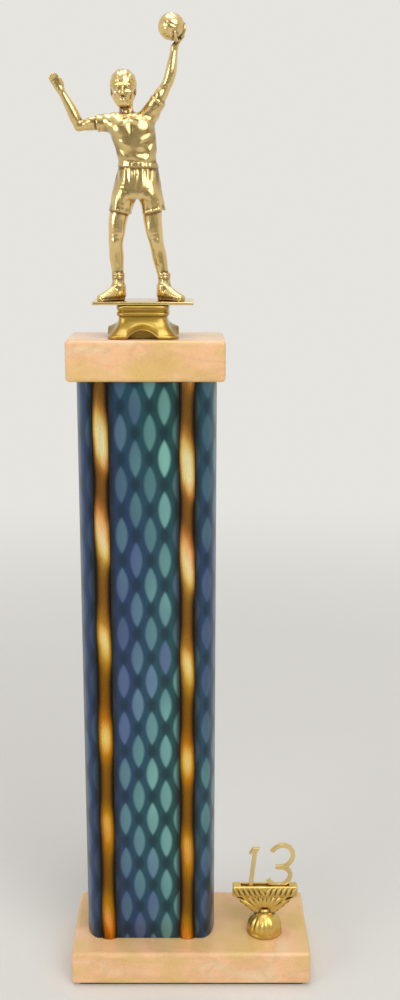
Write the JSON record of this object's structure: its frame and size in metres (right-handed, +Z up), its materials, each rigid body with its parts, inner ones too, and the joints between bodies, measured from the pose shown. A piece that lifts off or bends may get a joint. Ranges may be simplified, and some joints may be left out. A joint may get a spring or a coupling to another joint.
{
  "type": "sports trophy",
  "caption": "Free-standing column trophy: marble base, film-covered column with gold strips, marble cap, riser and a gold player raising a ball, with a small year trim beside the column.",
  "frame": {"origin": "middle of the base's underside, on the felt", "axes": "+Z up the column, +X to the viewer's right towards the year trim, -Y out of the front"},
  "size_m": [0.156, 0.072, 0.5884],
  "materials": {
    "felt": "dark green self-adhesive felt",
    "marble": "polished beige marble",
    "film": "teal and blue prismatic film on a plastic extrusion",
    "gold": "gold metallised plastic, bright",
    "steel": "zinc-plated steel"
  },
  "bodies": {
    "root": {"base_felt": "felt", "marble_base": "marble", "rod_washer": "steel", "rod_nut": "steel", "threaded_rod": "steel", "column_shell": "film", "gold_strip_front_left": "gold", "gold_strip_front_right": "gold", "gold_strip_back_left": "gold", "gold_strip_back_right": "gold", "marble_cap": "marble", "figure_riser": "gold", "figure_nut": "steel", "player_figure": "gold", "trim_holder": "gold", "numeral_one": "gold", "numeral_three": "gold", "trim_stud": "steel", "trim_washer": "steel", "trim_nut": "steel"}
  },
  "joints": []
}
